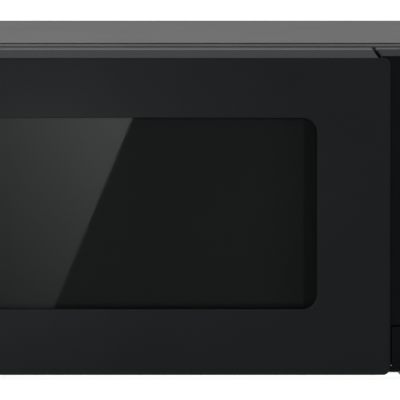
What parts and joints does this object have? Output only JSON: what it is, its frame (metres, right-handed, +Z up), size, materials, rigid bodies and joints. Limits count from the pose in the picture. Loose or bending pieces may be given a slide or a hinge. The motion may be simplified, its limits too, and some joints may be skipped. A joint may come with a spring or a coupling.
{
  "type": "microwave oven",
  "caption": "Countertop microwave oven with a left-hinged door, dark window, push keys, push-button door release and turntable.",
  "frame": {"origin": "centre of the bounding box's bottom face, at the level of the surface that the feet stand on", "axes": "+Z up, the door faces -Y, +X to the right of someone who looks at the door"},
  "size_m": [0.451, 0.342, 0.258],
  "materials": {
    "cabinet_paint": "satin black powder coat",
    "plate_paint": "satin black paint",
    "cavity_enamel": "grey cavity enamel",
    "galvanised_steel": "bare galvanised sheet",
    "part_alloy": "plain drawn alloy",
    "black_plastic": "satin black moulding",
    "panel_plastic": "gloss black moulding",
    "inner_plastic": "matt black moulding",
    "window_glass": "dark tinted gloss glass",
    "screen_steel": "black coated perforated sheet",
    "clear_sheet": "clear sheet",
    "plate_glass": "clear pressed glass",
    "white_plastic": "natural white moulding",
    "grey_plastic": "dark grey moulding",
    "rubber": "black rubber",
    "mica": "pressed mica sheet",
    "circuit_board": "solder-masked board",
    "spring_steel": "plain spring wire"
  },
  "bodies": {
    "chassis": {"base_plate": "galvanised_steel", "cabinet_wrap": "cabinet_paint", "cavity_box": "cavity_enamel", "front_plate": "plate_paint", "rear_panel": "galvanised_steel", "cord_gland": "inner_plastic", "foot_front_left": "rubber", "foot_front_right": "rubber", "foot_rear_left": "rubber", "foot_rear_right": "rubber", "waveguide_cover": "mica", "waveguide": "galvanised_steel", "magnetron": "part_alloy", "hv_transformer": "galvanised_steel", "hv_capacitor": "part_alloy", "hv_diode": "inner_plastic", "fan_shroud": "grey_plastic", "fan_motor": "galvanised_steel", "cavity_lamp": "white_plastic", "thermal_cutout": "inner_plastic", "noise_filter_board": "circuit_board", "turntable_motor": "galvanised_steel", "latch_board": "white_plastic", "switch_upper": "inner_plastic", "switch_middle": "inner_plastic", "switch_lower": "inner_plastic", "hinge_upper": "galvanised_steel", "hinge_lower": "galvanised_steel", "control_housing": "panel_plastic", "display_window": "window_glass", "control_board": "circuit_board", "button_spring": "spring_steel"},
    "door": {"door_panel": "black_plastic", "door_window": "window_glass", "door_frame": "galvanised_steel", "door_screen": "screen_steel", "inner_window": "clear_sheet", "choke_cover": "grey_plastic", "hook_spring": "spring_steel"},
    "latch_hooks": {"latch_hooks": "white_plastic"},
    "door_button": {"door_button": "panel_plastic"},
    "release_lever": {"release_lever": "white_plastic"},
    "roller_ring": {"roller_ring": "white_plastic"},
    "roller_1": {"roller_1": "white_plastic"},
    "roller_2": {"roller_2": "white_plastic"},
    "roller_3": {"roller_3": "white_plastic"},
    "turntable": {"turntable_coupler": "white_plastic", "glass_plate": "plate_glass"},
    "fan": {"fan_blade": "white_plastic"},
    "key_1": {"key_1": "panel_plastic"},
    "key_2": {"key_2": "panel_plastic"},
    "key_3": {"key_3": "panel_plastic"},
    "key_4": {"key_4": "panel_plastic"},
    "key_5": {"key_5": "panel_plastic"},
    "key_6": {"key_6": "panel_plastic"},
    "key_7": {"key_7": "panel_plastic"},
    "key_8": {"key_8": "panel_plastic"}
  },
  "joints": [
    {"name": "door_hinge", "type": "hinge", "parent": "chassis", "child": "door", "pos_m": [-0.2135, -0.1515, 0.13], "axis": [0, 0, -1], "range_deg": [0, 100]},
    {"name": "hook_lift", "type": "slide", "parent": "door", "child": "latch_hooks", "axis": [0, 0, 1], "range_m": [0, 0.003], "stiffness_N_per_m": 300, "springref_m": -0.004, "deforming": ["hook_spring"]},
    {"name": "button_press", "type": "slide", "parent": "chassis", "child": "door_button", "axis": [0, 1, 0], "range_m": [0, 0.006], "stiffness_N_per_m": 500, "springref_m": -0.003, "deforming": ["button_spring"]},
    {"name": "lever_turn", "type": "hinge", "parent": "chassis", "child": "release_lever", "pos_m": [0.14095, -0.1285, 0.058], "axis": [1, 0, 0], "range_deg": [0, 18]},
    {"name": "turntable_turn", "type": "hinge", "parent": "chassis", "child": "turntable", "pos_m": [-0.0398, 0.0115, 0.0466], "axis": [0, 0, 1], "continuous": true},
    {"name": "roller_ring_turn", "type": "hinge", "parent": "chassis", "child": "roller_ring", "pos_m": [-0.0398, 0.0115, 0.0373], "axis": [0, 0, 1], "continuous": true},
    {"name": "roller_1_spin", "type": "hinge", "parent": "roller_ring", "child": "roller_1", "pos_m": [-0.0398, 0.0975, 0.0373], "axis": [0, 1, 0], "continuous": true},
    {"name": "roller_2_spin", "type": "hinge", "parent": "roller_ring", "child": "roller_2", "pos_m": [-0.11428, -0.0315, 0.0373], "axis": [-0.866, -0.5, 0], "continuous": true},
    {"name": "roller_3_spin", "type": "hinge", "parent": "roller_ring", "child": "roller_3", "pos_m": [0.03468, -0.0315, 0.0373], "axis": [0.866, -0.5, 0], "continuous": true},
    {"name": "fan_spin", "type": "hinge", "parent": "chassis", "child": "fan", "pos_m": [0.165, 0.142, 0.182], "axis": [0, 1, 0], "continuous": true},
    {"name": "key_1_press", "type": "slide", "parent": "chassis", "child": "key_1", "axis": [0, 1, 0], "range_m": [0, 0.001], "stiffness_N_per_m": 500, "springref_m": -0.001},
    {"name": "key_2_press", "type": "slide", "parent": "chassis", "child": "key_2", "axis": [0, 1, 0], "range_m": [0, 0.001], "stiffness_N_per_m": 500, "springref_m": -0.001},
    {"name": "key_3_press", "type": "slide", "parent": "chassis", "child": "key_3", "axis": [0, 1, 0], "range_m": [0, 0.001], "stiffness_N_per_m": 500, "springref_m": -0.001},
    {"name": "key_4_press", "type": "slide", "parent": "chassis", "child": "key_4", "axis": [0, 1, 0], "range_m": [0, 0.001], "stiffness_N_per_m": 500, "springref_m": -0.001},
    {"name": "key_5_press", "type": "slide", "parent": "chassis", "child": "key_5", "axis": [0, 1, 0], "range_m": [0, 0.001], "stiffness_N_per_m": 500, "springref_m": -0.001},
    {"name": "key_6_press", "type": "slide", "parent": "chassis", "child": "key_6", "axis": [0, 1, 0], "range_m": [0, 0.001], "stiffness_N_per_m": 500, "springref_m": -0.001},
    {"name": "key_7_press", "type": "slide", "parent": "chassis", "child": "key_7", "axis": [0, 1, 0], "range_m": [0, 0.001], "stiffness_N_per_m": 500, "springref_m": -0.001},
    {"name": "key_8_press", "type": "slide", "parent": "chassis", "child": "key_8", "axis": [0, 1, 0], "range_m": [0, 0.001], "stiffness_N_per_m": 500, "springref_m": -0.001}
  ],
  "couplings": [
    {"joint": "hook_lift", "follows": "button_press", "ratio": 0.5},
    {"joint": "lever_turn", "follows": "button_press", "rad_per_m": 43.333},
    {"joint": "roller_ring_turn", "follows": "turntable_turn", "ratio": 0.5},
    {"joint": "roller_1_spin", "follows": "turntable_turn", "ratio": -6.1429},
    {"joint": "roller_2_spin", "follows": "turntable_turn", "ratio": -6.1429},
    {"joint": "roller_3_spin", "follows": "turntable_turn", "ratio": -6.1429}
  ]
}
